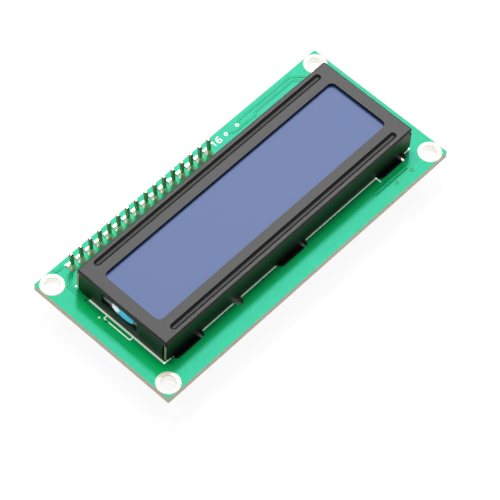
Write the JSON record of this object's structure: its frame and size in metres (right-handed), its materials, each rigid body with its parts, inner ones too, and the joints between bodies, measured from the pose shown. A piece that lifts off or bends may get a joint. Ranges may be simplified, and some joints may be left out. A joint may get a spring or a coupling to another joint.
{
  "type": "character lcd module",
  "caption": "Blank character display module: rectangular circuit board with a framed blue-grey LCD under a stamped black bezel and an upright pin header.",
  "frame": {"origin": "centre of the four mounting holes, on the front face of the circuit board", "axes": "+X along the board, away from the first header pin; +Y towards the board edge that carries the header; +Z out of the display, along the mounting screws"},
  "size_m": [0.08, 0.036, 0.0137],
  "materials": {
    "board": "glass-fibre laminate under a glossy green solder mask, white legend",
    "tinning": "tin-levelled copper ring",
    "bezel_paint": "black satin paint on steel sheet",
    "front_film": "blue-grey polarizing film",
    "cell_glass": "clear cell glass",
    "blue_epoxy": "glossy sky-blue sealing epoxy",
    "rear_film": "dark blue polarizing film",
    "elastomer": "silicone rubber with a conductive core",
    "white_plastic": "white moulded plastic",
    "white_film": "matt white film",
    "acrylic": "clear acrylic",
    "white_laminate": "white-masked laminate",
    "led_body": "cream moulded package with a yellow window",
    "lead_wire": "tinned wire",
    "solder": "bright solder",
    "header_plastic": "black moulded plastic",
    "pin_metal": "tin-plated brass",
    "black_epoxy": "matt black epoxy",
    "chip_resistor": "black glaze with tinned ends",
    "chip_capacitor": "tan ceramic with tinned ends"
  },
  "bodies": {
    "root": {"pcb": "board", "mounting_lands": "tinning", "bezel": "bezel_paint", "front_polarizer": "front_film", "front_glass": "cell_glass", "end_seal": "blue_epoxy", "rear_glass": "cell_glass", "rear_polarizer": "rear_film", "zebra_upper": "elastomer", "zebra_lower": "elastomer", "backlight_frame": "white_plastic", "reflector_film": "white_film", "light_guide": "acrylic", "diffuser_film": "white_film", "backlight_led_board": "white_laminate", "backlight_leds": "led_body", "backlight_leads": "lead_wire", "lead_solder": "solder", "header_strip": "header_plastic", "solder_joints": "solder", "pin_01": "pin_metal", "pin_02": "pin_metal", "pin_03": "pin_metal", "pin_04": "pin_metal", "pin_05": "pin_metal", "pin_06": "pin_metal", "pin_07": "pin_metal", "pin_08": "pin_metal", "pin_09": "pin_metal", "pin_10": "pin_metal", "pin_11": "pin_metal", "pin_12": "pin_metal", "pin_13": "pin_metal", "pin_14": "pin_metal", "pin_15": "pin_metal", "pin_16": "pin_metal", "controller_glob": "black_epoxy", "driver_glob": "black_epoxy", "oscillator_resistor": "chip_resistor", "supply_capacitor": "chip_capacitor", "bias_resistor_1": "chip_resistor", "bias_resistor_2": "chip_resistor", "bias_resistor_3": "chip_resistor", "bias_resistor_4": "chip_resistor", "bias_resistor_5": "chip_resistor", "backlight_resistor_1": "chip_resistor", "backlight_resistor_2": "chip_resistor"}
  },
  "joints": []
}
